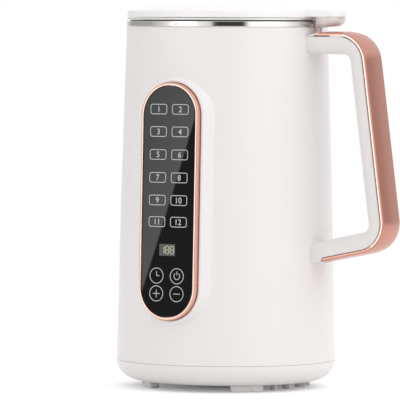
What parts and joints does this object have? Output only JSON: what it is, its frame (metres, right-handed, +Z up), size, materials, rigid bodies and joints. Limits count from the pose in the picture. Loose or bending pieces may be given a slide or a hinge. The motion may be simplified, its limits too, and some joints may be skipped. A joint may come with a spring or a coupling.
{
  "type": "soy milk maker",
  "caption": "Tapered white soy milk maker with a steel jug, lift-off lid, side handle, touch panel, heater, motor and blade.",
  "frame": {"origin": "centre of the overall box, on the table under the feet", "axes": "+Z up, +X towards the handle, -Y towards the person who faces the control panel"},
  "size_m": [0.189, 0.146, 0.2448],
  "materials": {
    "white_abs": "satin moulded ABS",
    "rose_gold_band": "satin metallic lacquer",
    "rose_gold_bezel": "bright metallic lacquer",
    "smoked_glass": "polished, black printed behind",
    "stainless_steel": "brushed and drawn",
    "silicone": "matt",
    "foot_rubber": "matt grey",
    "blush_abs": "satin",
    "circuit_board": "solder mask",
    "display": "matt",
    "aluminium": "as cast",
    "copper": "enamelled or bright",
    "laminations": "stacked sheet",
    "nylon": "moulded",
    "black_nylon": "moulded",
    "brass": "bright",
    "plated_steel": "zinc plated",
    "carbon": "pressed carbon"
  },
  "bodies": {
    "base_unit": {"outer_shell": "white_abs", "base_cover": "white_abs", "handle_core": "white_abs", "handle_trim": "rose_gold_band", "panel_bezel": "rose_gold_bezel", "panel_glass": "smoked_glass", "jug": "stainless_steel", "temperature_sensor": "stainless_steel", "bearing_lower": "stainless_steel", "bearing_upper": "stainless_steel", "heater_ring": "stainless_steel", "motor_damper_1": "silicone", "motor_damper_2": "silicone", "foot_1": "foot_rubber", "foot_2": "foot_rubber", "foot_3": "foot_rubber", "foot_4": "foot_rubber", "control_board": "circuit_board", "power_board": "circuit_board", "display_module": "display", "heater_plate": "aluminium", "motor_bracket_lower": "aluminium", "motor_bracket_upper": "aluminium", "field_coil_1": "copper", "field_coil_2": "copper", "stator_core": "laminations", "motor_carrier": "nylon", "shaft_seal": "nylon", "inlet_socket": "black_nylon", "microswitch": "black_nylon", "brush_holder_1": "brass", "brush_holder_2": "brass", "seal_nut": "brass", "handle_screw_1": "plated_steel", "handle_screw_2": "plated_steel", "base_screw_1": "plated_steel", "base_screw_2": "plated_steel", "base_screw_3": "plated_steel", "motor_bolt_1": "plated_steel", "motor_bolt_2": "plated_steel", "inlet_pin_line": "plated_steel", "inlet_pin_neutral": "plated_steel", "inlet_pin_earth": "plated_steel", "carbon_brush_1": "carbon", "carbon_brush_2": "carbon"},
    "lid": {"lid_cover": "white_abs", "lid_tongue_shell": "white_abs", "lid_plate": "stainless_steel", "lid_seal": "silicone", "overflow_probe": "stainless_steel", "interlock_post": "blush_abs", "lid_screw_1": "plated_steel", "lid_screw_2": "plated_steel"},
    "drive": {"drive_shaft": "stainless_steel", "rotor_core": "laminations", "commutator": "copper", "cooling_fan": "black_nylon", "blade": "stainless_steel", "blade_nut": "stainless_steel"},
    "interlock": {"interlock_plunger": "blush_abs"}
  },
  "joints": [
    {"name": "lid_lift", "type": "slide", "parent": "base_unit", "child": "lid", "axis": [0, 0, 1], "range_m": [0, 0.13]},
    {"name": "drive_spin", "type": "hinge", "parent": "base_unit", "child": "drive", "pos_m": [-0.02444, 0.00289, 0.116], "axis": [0, 0, 1], "continuous": true},
    {"name": "interlock_travel", "type": "slide", "parent": "base_unit", "child": "interlock", "axis": [0, 0, 1], "range_m": [0, 0.0025]}
  ],
  "couplings": [
    {"joint": "interlock_travel", "follows": "lid_lift", "ratio": 0.0192}
  ]
}
